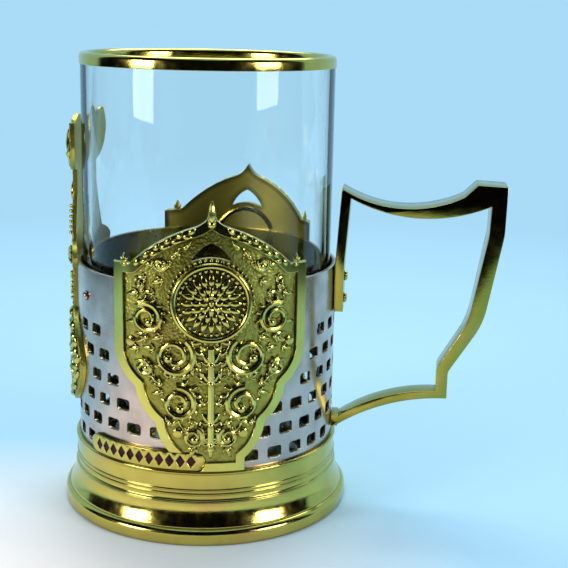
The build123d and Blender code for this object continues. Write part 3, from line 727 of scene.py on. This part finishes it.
class HOLDER_OT_stage(Operator):
    """Set up the floor, the soft studio light and the camera"""

    bl_idname = "tea_holder.stage"
    bl_label = "Stage"

    # Black cards on the table: size, and place of the middle, in metres
    TABLE_CARDS = {
        "dark_table_front": ((3.2, 1.2), (0.0, -0.79, 0.0006)),
        "dark_table_left": ((1.2, 0.5), (-0.89, -0.04, 0.0006)),
        "dark_table_right": ((1.2, 0.5), (0.89, -0.04, 0.0006)),
    }
    # Lamps: size and place in metres, and power in watts
    SOFTBOXES = {
        "left_softbox": ((0.28, 0.22), (-0.58, -0.52, 0.22), 2.8),
        "right_softbox": ((0.28, 0.22), (0.66, -0.36, 0.24), 2.5),
        "top_softbox": ((0.9, 0.6), (0.0, 0.55, 0.9), 8.0),
    }

    def execute(self, context):
        scene = context.scene
        studio = scene.holder_studio
        scene.view_settings.view_transform = "Standard"
        self.make_camera(scene, studio)
        self.make_floor(scene, studio)
        self.make_world(scene, studio)
        for name, (size, place) in self.TABLE_CARDS.items():
            self.make_table_card(scene, name, size, place)
        self.make_surround(scene)
        for name, (size, place, power) in self.SOFTBOXES.items():
            self.make_softbox(scene, name, size, place, power)
        return {"FINISHED"}

    def make_camera(self, scene, studio):
        """Camera that looks from the eye along the heading, down by the pitch."""
        data = bpy.data.cameras.new("photo_camera")
        data.sensor_width = 36.0
        data.lens = studio.focal_pixels / IMAGE_SIZE * data.sensor_width
        data.clip_start = 0.01
        camera = bpy.data.objects.new("photo_camera", data)
        scene.collection.objects.link(camera)
        level = cos(studio.pitch)
        ahead = Vector((-sin(studio.heading) * level, cos(studio.heading) * level, -sin(studio.pitch)))
        roll = Matrix.Rotation(studio.roll, 4, "Z").to_quaternion()
        camera.location = studio.eye
        camera.rotation_mode = "QUATERNION"
        camera.rotation_quaternion = ahead.to_track_quat("-Z", "Y") @ roll
        scene.camera = camera

    def make_floor(self, scene, studio):
        """Paper floor with a painted pool of light before the foot, that turns into the backdrop further
        off.
        """
        # Middle of the painted pool of light before the foot
        light_pool_middle = (-0.05, -0.12, 0.0)
        half_width = 4.0
        material, tree, shader = new_material("paper_floor")
        place = object_place(tree)
        reach = calculate_vector(tree, "LENGTH", place)["Value"]
        from_light_pool = calculate_vector(tree, "DISTANCE", place, light_pool_middle)["Value"]
        away = spread(tree, from_light_pool, 0.07, 0.15, 0.0, 1.0)
        colour = blend_colours(tree, away, rgba(studio.floor_light_pool), rgba(studio.backdrop))
        tree.links.new(colour, shader.inputs["Base Color"])
        shader.inputs["Roughness"].default_value = 0.85
        shader.inputs["Specular IOR Level"].default_value = 0.2
        far = spread(tree, reach, 0.14, 0.45, 0.0, 1.0)
        fade = calculate(tree, "MULTIPLY", far, self.seen_rays(tree))
        glow = add_node(tree, "ShaderNodeEmission", {"Color": rgba(studio.backdrop), "Strength": 1.0})
        mix_shaders(tree, fade, shader.outputs["BSDF"], glow.outputs["Emission"])
        bm = bmesh.new()
        bmesh.ops.create_grid(bm, x_segments=1, y_segments=1, size=half_width)
        self.place_stage(scene, bm, "floor", material)

    def seen_rays(self, tree):
        """1 for rays that show the backdrop: camera, mirror and glass rays."""
        path = add_node(tree, "ShaderNodeLightPath", {}).outputs
        no_glass = calculate(tree, "MAXIMUM", path["Is Camera Ray"], path["Is Glossy Ray"])
        return calculate(tree, "MAXIMUM", no_glass, path["Is Transmission Ray"])

    def make_world(self, scene, studio):
        """Soft fill light, and the backdrop's colour wherever it is seen."""
        world = bpy.data.worlds.new("soft_room")
        world.use_nodes = True
        scene.world = world
        tree = world.node_tree
        fill = tree.nodes["Background"]
        fill.inputs["Color"].default_value = (0.88, 0.94, 1.0, 1.0)
        fill.inputs["Strength"].default_value = 0.45
        sky = add_node(tree, "ShaderNodeBackground", {"Color": rgba(studio.backdrop), "Strength": 1.0})
        lights = [node.outputs["Background"] for node in (fill, sky)]
        mix_shaders(tree, self.seen_rays(tree), *lights, output="World Output")

    def dark_card(self, name):
        """Black that is clear to light that has met no mirror, so that none shows through the glass."""
        material, tree, shader = new_material(name)
        shader.inputs["Base Color"].default_value = (0.004, 0.004, 0.004, 1.0)
        shader.inputs["Specular IOR Level"].default_value = 0.0
        path = add_node(tree, "ShaderNodeLightPath", {})
        in_mirror = calculate(tree, "GREATER_THAN", path.outputs["Glossy Depth"], 0.5)
        open_way = add_node(tree, "ShaderNodeBsdfTransparent", {})
        mix_shaders(tree, in_mirror, open_way.outputs["BSDF"], shader.outputs["BSDF"])
        return material

    def only_mirrored(self, piece):
        """Let only reflections see a dark card."""
        piece.visible_camera = False
        piece.visible_diffuse = False
        piece.visible_shadow = False

    def make_table_card(self, scene, name, size, place):
        """Black card that lies on the table."""
        bm = bmesh.new()
        bmesh.ops.create_grid(bm, x_segments=1, y_segments=1, size=0.5)
        bmesh.ops.scale(bm, verts=bm.verts, vec=(*size, 1.0))
        bmesh.ops.translate(bm, verts=bm.verts, vec=place)
        self.only_mirrored(self.place_stage(scene, bm, name, self.dark_card(name)))

    def make_surround(self, scene):
        """Dark round wall of the room, before the table and to both sides of it."""
        reach = 1.3
        height = 3.0
        begin = radians(-190)
        sweep = radians(200)
        bm = bmesh.new()
        low = bm.verts.new((reach, 0.0, 0.0))
        high = bm.verts.new((reach, 0.0, height))
        edge = bm.edges.new((low, high))
        bmesh.ops.rotate(bm, verts=bm.verts, cent=(0, 0, 0), matrix=Matrix.Rotation(begin, 3, "Z"))
        bmesh.ops.spin(
            bm,
            geom=[low, high, edge],
            cent=(0, 0, 0),
            axis=(0, 0, 1),
            dvec=(0, 0, 0),
            angle=sweep,
            steps=40,
        )
        self.only_mirrored(self.place_stage(scene, bm, "dark_room", self.dark_card("dark_room")))

    def make_softbox(self, scene, name, size, place, power):
        """Soft lamp that points at the holder."""
        data = bpy.data.lights.new(name, "AREA")
        data.shape = "RECTANGLE"
        data.size = size[0]
        data.size_y = size[1]
        data.energy = power
        lamp = bpy.data.objects.new(name, data)
        scene.collection.objects.link(lamp)
        lamp.location = place
        aim = LAMP_TARGET - lamp.location
        lamp.rotation_euler = aim.to_track_quat("-Z", "Y").to_euler()
        lamp.visible_camera = False

    def place_stage(self, scene, bm, name, material):
        """Make an object of the stage from a mesh."""
        mesh = bpy.data.meshes.new(name)
        bm.to_mesh(mesh)
        bm.free()
        mesh.materials.append(material)
        piece = bpy.data.objects.new(name, mesh)
        scene.collection.objects.link(piece)
        return piece


class HOLDER_OT_finishes(Operator):
    """Make the metals, the glass and the enamel"""

    bl_idname = "tea_holder.finishes"
    bl_label = "Finishes"

    def execute(self, context):
        face = context.scene.holder_sizes.plate_radius
        gilding("polished_gilding", gloss=(0.09, 0.2), shade_and_tarnish_amount=0.5, edge=0.25 * MM)
        gilding("cast_gilding", gloss=(0.14, 0.26), shade_and_tarnish_amount=0.85, edge=0.15 * MM, tone="relief_gold")
        gilding("handle_gilding", gloss=(0.07, 0.16), shade_and_tarnish_amount=0.5, edge=0.25 * MM, tone="handle_gold")
        plate_gilding("panel_gilding", face, shade=0.9)
        plate_gilding("palmette_gilding", face, shade=0.0)
        silvering("silvered_sheet")
        clear_glass("tumbler_glass")
        dark_enamel("dark_enamel")
        return {"FINISHED"}


class HOLDER_OT_wall(Operator):
    """Finish the pierced wall and the floor under the glass"""

    bl_idname = "tea_holder.wall"
    bl_label = "Wall"

    def execute(self, context):
        dress("wall_shell", "silvered_sheet")
        dress("floor_disc", "silvered_sheet")
        return {"FINISHED"}


class HOLDER_OT_foot(Operator):
    """Turn the foot, its ring and the collar"""

    bl_idname = "tea_holder.foot"
    bl_label = "Foot"

    def execute(self, context):
        self.make_ring()
        self.make_shell()
        self.make_collar()
        return {"FINISHED"}

    def make_ring(self):
        """Ring that the holder stands on, with both outer edges rounded."""
        outer = ring_high.y - 0.02 * MM
        inner = outer - 5.0 * MM
        top = ring_high.z
        upper = 1.6 * MM
        lower = 0.8 * MM
        outline = [(inner, 0.0)]
        outline += arc((outer - lower, lower), lower, -90, 0, 5)
        outline += arc((outer - upper, top - upper), upper, 0, 90, 8)
        outline += [(inner, top)]
        bm = bmesh.new()
        lathe(bm, outline)
        show(bm, "foot_ring_turned", "polished_gilding", ["foot_ring"])

    def make_shell(self):
        """Hollowed flare between the ring and the collar."""
        low = shell_low.z
        top = shell_high.z
        bore = wall_radius - 3.1 * MM
        groove = wall_radius + 3.0 * MM
        shoulder = wall_radius + 1.3 * MM
        seat = wall_low.z - 1.2 * MM
        collar_seat = wall_radius + 0.05 * MM
        outline = [(bore, low), (groove, low)]
        steps = 12
        for i in range(steps + 1):
            share = i / steps
            hollow = 0.35 * MM * sin(pi * share)
            radius = groove + (shoulder - groove) * share - hollow
            height = low + 0.3 * MM + (top - low - 0.9 * MM) * share
            outline.append((radius, height))
        outline += [(shoulder, top)]
        outline += [(collar_seat, top), (collar_seat, seat), (bore, seat)]
        bm = bmesh.new()
        lathe(bm, outline)
        show(bm, "foot_shell_turned", "polished_gilding", ["foot_shell"])

    def make_collar(self):
        """Collar with a cove at its foot, two reeds and a rounded lip."""
        low = collar_low.z
        top = collar_high.z
        inner = wall_radius + 0.05 * MM
        outer = inner + 0.75 * MM
        cove = 0.6 * MM
        reed = 0.32 * MM
        lip = 0.5 * MM
        outline = [(inner, low), (wall_radius + 1.3 * MM, low), (wall_radius + 1.25 * MM, low + 0.25 * MM)]
        outline += arc((wall_radius + 1.4 * MM, low + 0.95 * MM), cove, 250, 180, 4)
        for height in (2.1, 3.2):
            outline += arc((outer - 0.1 * MM, low + height * MM), reed, -70, 70, 6)
        outline += arc((outer - 0.15 * MM, top - 0.6 * MM), lip, -70, 70, 6)
        outline += [(outer, top - 0.05 * MM), (inner, top)]
        bm = bmesh.new()
        lathe(bm, outline)
        show(bm, "wall_collar_turned", "polished_gilding", ["wall_collar"])


class HOLDER_OT_handle(Operator):
    """Round the edges of the bent handle"""

    bl_idname = "tea_holder.handle"
    bl_label = "Handle"

    def execute(self, context):
        edge = context.scene.holder_sizes.edge_round
        show_softened("handle_strip", "handle_bent_strip", edge, 3, "handle_gilding")
        return {"FINISHED"}


class HOLDER_OT_rivets(Operator):
    """Round the heads of the rivets and studs, and gild the pin"""

    bl_idname = "tea_holder.rivets"
    bl_label = "Rivets and studs"

    def execute(self, context):
        dome = 0.35 * MM
        for node in ("front_rivets", "back_rivets", "palmette_rivets", "handle_upper_rivets"):
            show_softened(node, node + "_domed", dome, 3, "polished_gilding")
        show_softened("band_studs", "band_studs_domed", dome, 3, "silvered_sheet")
        dress("handle_lower_pin", "polished_gilding")
        return {"FINISHED"}


class HOLDER_OT_panels(Operator):
    """Finish the two ornament plates and grow the scrollwork on them"""

    bl_idname = "tea_holder.panels"
    bl_label = "Ornament panels"

    # Heights of the leaf sprays on the stem, in mm
    STEM_SPRAYS = (26.0, 31.5, 42.0, 46.8)
    # Across and up in mm, radius in mm, start in degrees, turns
    SCROLLS = (
        (4.1, 28.2, 2.5, 110.0, 1.4),
        (7.6, 36.8, 4.3, 80.0, 1.5),
        (8.6, 48.6, 5.0, 120.0, 1.6),
        (15.6, 58.0, 3.9, 60.0, 1.5),
        (16.4, 45.2, 1.9, 80.0, 1.3),
        (12.4, 71.4, 1.6, 150.0, 1.3),
    )
    # Across and up in mm, heading and fan in degrees, length in mm
    SPRAYS = (
        (16.8, 64.6, 75.0, 60.0, 3.8),
        (15.8, 53.0, -30.0, 70.0, 3.4),
        (12.4, 41.4, 40.0, 80.0, 3.4),
        (9.2, 73.4, 125.0, 50.0, 3.0),
        (6.2, 75.8, 130.0, 40.0, 2.4),
        (21.0, 70.6, 90.0, 60.0, 2.8),
        (10.2, 31.4, 60.0, 80.0, 2.4),
    )

    def execute(self, context):
        sizes = context.scene.holder_sizes
        pearls = medallion_radius + 0.4 * MM
        for side, angle in panel_sides(sizes):
            dress(side + "_ogee_plate", "panel_gilding")
            bm = bmesh.new()
            self.grow_stem(bm, sizes)
            for hand in (-1, 1):
                self.grow_scrolls(bm, sizes, hand)
                self.grow_sprays(bm, hand)
                self.grow_crest(bm, hand)
            self.grow_foliage(bm)
            if side == "front":
                self.grow_finial(bm)
            pearl_oval(bm, Vector((0, SHEET, medallion_height)), pearls, pearls, 48, 0.5 * MM)
            wrap(bm, angle, sizes.plate_radius)
            tidy(bm)
            show(bm, side + "_scroll_relief", "cast_gilding", [side + "_scrollwork"])
            self.make_reverse_ring(side, angle)
        return {"FINISHED"}

    def grow_stem(self, bm, sizes):
        """Straight stem from the plate's foot up to the medallion, with leaf sprays."""
        low = plate_low.z + 5.5 * MM
        high = medallion_height - medallion_radius - 1.6 * MM
        steps = 24
        rise = (high - low) / steps
        tendril(bm, Vector((0, SHEET, low)), pi / 2, [(rise, 0.0, 1.0)] * steps, sizes.stem_radius)
        for height in self.STEM_SPRAYS:
            foot = on_sheet(0, height)
            leaf_spray(bm, foot, pi / 2, 5, radians(150), 4.4 * MM)
            bead(bm, foot + Vector((0, -0.5 * MM, 0)), 0.8 * MM)

    def grow_crest(self, bm, hand):
        """Laurel leaves along the crest's border, which is an arc about a point beside the stem."""
        centre = Vector((-5.8, 0, 47.9)) * MM
        radius = 33.1 * MM
        leaves = 11
        for i in range(leaves):
            along = radians(43.0 + 2.7 * i)
            lean = radians(24 if i % 2 else -24)
            foot = centre + Vector((cos(along), 0, sin(along))) * radius
            foot.x *= hand
            foot.y = -0.7 * MM
            petal(bm, foot, mirrored(along + pi / 2 + lean, hand), 2.5 * MM, 1.4 * MM, 0.6 * MM)

    def grow_finial(self, bm):
        """Slim leaf that stands on the front plate's tip."""
        foot = Vector((0, -0.7 * MM, plate_high.z - 2.6 * MM))
        leaf_spray(bm, foot, pi / 2, 3, radians(70), 3.2 * MM, 0.9 * MM)
        petal(bm, foot + Vector((0, -0.3 * MM, 0)), pi / 2, 5.8 * MM, 2.0 * MM, 0.9 * MM)
        bead(bm, foot, 1.1 * MM)

    def grow_scrolls(self, bm, sizes, hand):
        """Scrolls on one side of the stem, thicker where they are larger."""
        for across, height, radius, start, turns in self.SCROLLS:
            centre = Vector((hand * across, 0, height)) * MM
            thickness = sizes.stem_radius * (0.75 + 0.05 * radius)
            volute(bm, centre, radius * MM, mirrored(radians(start), hand), hand, turns, thickness)

    def grow_sprays(self, bm, hand):
        """Leaf sprays on one side of the stem, each with a bead at its foot."""
        for across, height, heading, fan, length in self.SPRAYS:
            foot = on_sheet(hand * across, height)
            leaf_spray(bm, foot, mirrored(radians(heading), hand), 3, radians(fan), length * MM)
            bead(bm, foot, 0.75 * MM)

    def field_half_width(self, height):
        """Half-width in mm of the plate's field at a height in mm, inside the border."""
        foot = 22.5
        waist = 49.0
        shoulder = 70.8
        if height < waist:
            return 6.0 + 0.55 * (height - foot)
        if height < shoulder:
            return 20.6
        return 16.8 - 1.57 * (height - shoulder)

    def grow_foliage(self, bm):
        """Low leaves that fill the ground between the scrolls, in staggered rows."""
        clear = medallion_radius / MM + 2.0
        rows = 15
        row_rise = 3.5
        pitch = 3.9
        for row in range(rows):
            height = 25.5 + row_rise * row
            half_width = self.field_half_width(height) - 1.6
            for column in range(-6, 7):
                across = pitch * column + pitch / 2 * (row % 2)
                lift = height - medallion_height / MM
                in_spandrel = abs(across) < 7.0 and height > 71.0
                if abs(across) > half_width or across ** 2 + lift ** 2 < clear ** 2 or in_spandrel:
                    continue
                heading = 90.0 - 6.0 * across if row % 2 else 270.0 + 6.0 * across
                foot = Vector((across * MM, 0.0, height * MM))
                leaf_spray(bm, foot, radians(heading), 3, radians(100), 3.2 * MM, 0.6 * MM)

    def make_reverse_ring(self, side, angle):
        """Raised ring on the plate's inner face, behind the medallion and above the wall."""
        reach = medallion_radius - 0.4 * MM
        thickness = 0.8 * MM
        begin = asin((wall_top + thickness + 0.2 * MM - medallion_height) / reach)
        steps = 32
        turn = (pi - 2 * begin) / steps
        start = Vector((reach * cos(begin), 0, medallion_height + reach * sin(begin)))
        bm = bmesh.new()
        tendril(bm, start, begin + pi / 2, [(reach * turn, turn, 1.0)] * steps, thickness)
        wrap(bm, angle, wall_radius - 0.1 * MM)
        tidy(bm)
        show(bm, side + "_reverse_ring", "polished_gilding", [])


class HOLDER_OT_medallions(Operator):
    """Model the rosette medallions"""

    bl_idname = "tea_holder.medallions"
    bl_label = "Medallions"

    # Inner radius in mm, petals, and each petal's length, width and rise in mm
    ROSETTES = (
        (4.2, 20, 3.2, 1.7, 0.5),
        (2.2, 14, 3.0, 1.6, 0.65),
        (0.7, 8, 2.6, 1.5, 0.75),
    )

    def execute(self, context):
        sizes = context.scene.holder_sizes
        face = sizes.plate_radius + 1.2 * MM
        pearls = medallion_radius - 1.95 * MM
        middle = Vector((0, 0, 0))
        for side, angle in panel_sides(sizes):
            bm = bmesh.new()
            self.turn_disc(bm)
            for inner, petals, length, width, rise in self.ROSETTES:
                rosette(bm, middle, inner * MM, petals, length * MM, width * MM, rise * MM)
            pearl_oval(bm, middle, pearls, pearls, 36, 0.42 * MM)
            bead(bm, Vector((0, -0.1 * MM, 0)), 0.8 * MM)
            stand(bm, angle, face, medallion_height)
            tidy(bm)
            show(bm, side + "_medallion_rosette", "cast_gilding", [side + "_medallion"])
        return {"FINISHED"}

    def turn_disc(self, bm):
        """Disc with a round rim and a sunk face."""
        outer = medallion_radius
        rim = 0.7 * MM
        sunk = -0.25 * MM
        back = -2.5 * MM
        outline = [(0.0, back), (outer, back), (outer, 0.0)]
        outline += arc((outer - rim, 0.0), rim, 0, 180, 10)
        outline += [(outer - 2 * rim, sunk), (0.0, sunk)]
        lathe(bm, outline)
        face_front(bm)


class HOLDER_OT_palmette(Operator):
    """Finish the palmette plate and model its leaves and boss"""

    bl_idname = "tea_holder.palmette"
    bl_label = "Palmette"

    # Leaves on the head's side lobes: across and up in mm, heading in degrees, length in mm
    SIDE_LEAVES = (
        (6.4, 93.8, 72.0, 6.8),
        (8.2, 93.6, 80.0, 6.6),
        (5.2, 95.4, 64.0, 4.6),
        (9.4, 92.8, 58.0, 2.6),
    )
    # Heights of the knop's and the oval's middles, in mm
    KNOP = 67.0
    OVAL = 39.5

    def execute(self, context):
        sizes = context.scene.holder_sizes
        dress("palmette_plate", "palmette_gilding")
        bm = bmesh.new()
        self.grow_head(bm)
        self.grow_neck(bm)
        self.grow_oval(bm, sizes)
        wrap(bm, pi, sizes.plate_radius)
        tidy(bm)
        show(bm, "palmette_leaves", "cast_gilding", ["palmette_relief"])
        self.make_boss(sizes)
        return {"FINISHED"}

    def grow_head(self, bm):
        """Fan of leaves on the head, and leaves on its side lobes."""
        foot = Vector((0, SHEET, palmette_top - 13.6 * MM))
        leaf_spray(bm, foot, pi / 2, 7, radians(130), 12.4 * MM)
        leaf_spray(bm, foot + Vector((0, -0.2 * MM, 0)), pi / 2, 5, radians(110), 6.4 * MM)
        bead(bm, foot + Vector((0, -0.3 * MM, 0)), 1.2 * MM)
        for across, height, heading, length in self.SIDE_LEAVES:
            for hand in (-1, 1):
                side = on_sheet(hand * across, height)
                aim = mirrored(radians(heading), hand)
                petal(bm, side, aim, length * MM, 0.34 * length * MM, 0.7 * MM)

    def grow_neck(self, bm):
        """Pearls and leaf sprays on the neck, the knop and the stem."""
        pearl = 0.55 * MM
        pearls = 6
        for hand in (-1, 1):
            for i in range(pearls):
                bead(bm, on_sheet(hand * (4.9 + 0.4 * i), 79.4 - 1.35 * i), pearl)
            for i in range(pearls):
                bead(bm, on_sheet(hand * 6.1, 54.6 + 1.4 * i), pearl)
            leaf_spray(bm, on_sheet(hand * 7.0, self.KNOP), mirrored(0.0, hand), 5, radians(110), 4.8 * MM)
            for height in (55.4, 59.0):
                aim = pi / 2 - hand * radians(15)
                leaf_spray(bm, on_sheet(hand * 3.7, height), aim, 3, radians(70), 3.2 * MM)
        for height in (70.5, 74.0, 77.5):
            leaf_spray(bm, on_sheet(0, height), pi / 2, 3, radians(70), 3.8 * MM)
        for heading in (0.0, pi):
            leaf_spray(bm, on_sheet(0, self.KNOP), heading, 3, radians(60), 5.4 * MM)
        bead(bm, Vector((0, -0.4 * MM, self.KNOP * MM)), 1.4 * MM)
        for height in (54.0, 61.2):
            leaf_spray(bm, on_sheet(0, height), pi / 2, 5, radians(130), 4.8 * MM)

    def grow_oval(self, bm, sizes):
        """Rosette, sprays and scrolls in the oval, with pearls and a wreath round them."""
        middle = on_sheet(0, self.OVAL)
        pearl_oval(bm, middle, 15.8 * MM, 10.6 * MM, 56, 0.6 * MM)
        rosette(bm, middle, 1.6 * MM, 10, 5.2 * MM, 2.2 * MM, 0.9 * MM)
        rosette(bm, middle, 0.6 * MM, 6, 2.6 * MM, 1.7 * MM, 1.1 * MM)
        self.grow_wreath(bm, middle)
        for lift in (-1, 1):
            foot = middle + Vector((0, 0, lift * 6.6 * MM))
            leaf_spray(bm, foot, lift * pi / 2, 5, radians(160), 3.2 * MM)
        for hand in (-1, 1):
            foot = middle + Vector((hand * 11.8 * MM, 0, 0))
            leaf_spray(bm, foot, mirrored(0.0, hand), 3, radians(90), 3.0 * MM)
            for lift in (-1, 1):
                tip = middle + Vector((hand * 5.0 * MM, 0, lift * 6.2 * MM))
                leaf_spray(bm, tip, lift * (pi / 2 - hand * radians(40)), 3, radians(80), 3.0 * MM)
                centre = middle + Vector((hand * 9.6 * MM, 0, lift * 3.6 * MM))
                begin = mirrored(radians(lift * 150), hand)
                volute(bm, centre, 2.5 * MM, begin, hand * lift, 1.4, 0.8 * sizes.stem_radius)

    def grow_wreath(self, bm, middle):
        """Oval wreath of leaves that lean in and out by turns."""
        leaves = 36
        for i in range(leaves):
            turn = 2 * pi * i / leaves
            foot = middle + Vector((17.5 * cos(turn), 0, 12.2 * sin(turn))) * MM
            lean = radians(22 if i % 2 else -22)
            petal(bm, foot, turn + pi / 2 + lean, 3.3 * MM, 1.8 * MM, 0.9 * MM)

    def make_boss(self, sizes):
        """Round boss on the neck, with a ring of pearls."""
        outer = (bead_high.z - bead_low.z) / 2
        back = -1.2 * MM
        rim = 0.5 * MM
        crown = 1.0 * MM
        pearls = outer - 1.15 * MM
        outline = [(0.0, back), (outer, back)]
        outline += arc((outer - rim, 0.0), rim, 0, 150, 6)
        outline += [(outer - 1.2 * MM, 0.1 * MM), (outer - 1.8 * MM, 0.75 * MM)]
        outline += [(0.5 * MM, crown), (0.0, crown)]
        bm = bmesh.new()
        lathe(bm, outline)
        face_front(bm)
        pearl_oval(bm, Vector((0, -0.1 * MM, 0)), pearls, pearls, 20, 0.3 * MM)
        stand(bm, pi, sizes.plate_radius, bead_height)
        tidy(bm)
        show(bm, "palmette_boss", "polished_gilding", ["palmette_bead"])


class HOLDER_OT_plaque(Operator):
    """Finish the plaque and dome its inlays"""

    bl_idname = "tea_holder.plaque"
    bl_label = "Plaque"

    def execute(self, context):
        show_softened("plaque", "plaque_softened", 0.25 * MM, 2, "polished_gilding")
        show_softened("plaque_inlays", "plaque_lozenges", 0.12 * MM, 2, "dark_enamel")
        return {"FINISHED"}


class HOLDER_OT_glass(Operator):
    """Blow the tumbler and gild its lip"""

    bl_idname = "tea_holder.glass"
    bl_label = "Glass"

    def execute(self, context):
        self.make_tumbler()
        self.make_gilding()
        return {"FINISHED"}

    def make_tumbler(self):
        """Straight tumbler with a thick base and a rounded lip."""
        outer = glass_high.y
        bore = outer - 1.8 * MM
        low = glass_low.z
        top = glass_high.z
        floor = low + 6.0 * MM
        edge = 1.5 * MM
        lip = (outer - bore) / 2
        outline = [(0.0, low + 0.6 * MM), (0.6 * outer, low + 0.5 * MM), (0.78 * outer, low)]
        outline += arc((outer - edge, low + edge), edge, -90, 0, 6)
        outline += arc((outer - lip, top - lip), lip, 0, 180, 10)
        outline += arc((bore - 2 * edge, floor + 2 * edge), 2 * edge, 0, -90, 8)
        outline += [(0.0, floor - 0.3 * MM)]
        bm = bmesh.new()
        lathe(bm, outline)
        show(bm, "tumbler", "tumbler_glass", ["glass_tumbler"], body="glass")

    def make_gilding(self):
        """Thin gilt coat over the lip, outside and inside."""
        outer = gilding_high.y
        coat = 0.2 * MM
        low = gilding_low.z
        inner = glass_high.y - 2.05 * MM
        lip = (outer - inner) / 2
        centre = (outer - lip, gilding_high.z - lip)
        outline = [(outer, low)] + arc(centre, lip, 0, 180, 12) + [(inner, low), (inner + coat, low)]
        outline += arc(centre, lip - coat, 180, 0, 12) + [(outer - coat, low)]
        bm = bmesh.new()
        lathe(bm, outline)
        show(bm, "lip_gilding_band", "polished_gilding", ["rim_gilding"], body="glass")


class HOLDER_PT_pieces(Panel):
    """List of the pieces in the sidebar"""

    bl_idname = "HOLDER_PT_pieces"
    bl_label = "Tea Glass Holder"
    bl_space_type = "VIEW_3D"
    bl_region_type = "UI"
    bl_category = "Tea Holder"

    def draw(self, context):
        for operator in OPERATORS:
            self.layout.operator(operator.bl_idname)


OPERATORS = (
    HOLDER_OT_stage,
    HOLDER_OT_finishes,
    HOLDER_OT_wall,
    HOLDER_OT_foot,
    HOLDER_OT_handle,
    HOLDER_OT_rivets,
    HOLDER_OT_panels,
    HOLDER_OT_medallions,
    HOLDER_OT_palmette,
    HOLDER_OT_plaque,
    HOLDER_OT_glass,
)
GROUPS = (HolderSizes, HolderFinishes, StudioSettings)


def register():
    """Make the settings, the operators and the panel known."""
    for item in GROUPS + OPERATORS + (HOLDER_PT_pieces,):
        bpy.utils.register_class(item)
    bpy.types.Scene.holder_sizes = PointerProperty(type=HolderSizes)
    bpy.types.Scene.holder_finishes = PointerProperty(type=HolderFinishes)
    bpy.types.Scene.holder_studio = PointerProperty(type=StudioSettings)


def unregister():
    """Take the settings, the operators and the panel away again."""
    del bpy.types.Scene.holder_studio
    del bpy.types.Scene.holder_finishes
    del bpy.types.Scene.holder_sizes
    for item in reversed(GROUPS + OPERATORS + (HOLDER_PT_pieces,)):
        bpy.utils.unregister_class(item)


def main():
    """Build every piece in order."""
    register()
    bpy.ops.tea_holder.stage()
    bpy.ops.tea_holder.finishes()
    bpy.ops.tea_holder.wall()
    bpy.ops.tea_holder.foot()
    bpy.ops.tea_holder.handle()
    bpy.ops.tea_holder.rivets()
    bpy.ops.tea_holder.panels()
    bpy.ops.tea_holder.medallions()
    bpy.ops.tea_holder.palmette()
    bpy.ops.tea_holder.plaque()
    bpy.ops.tea_holder.glass()


if __name__ == "__main__":
    main()
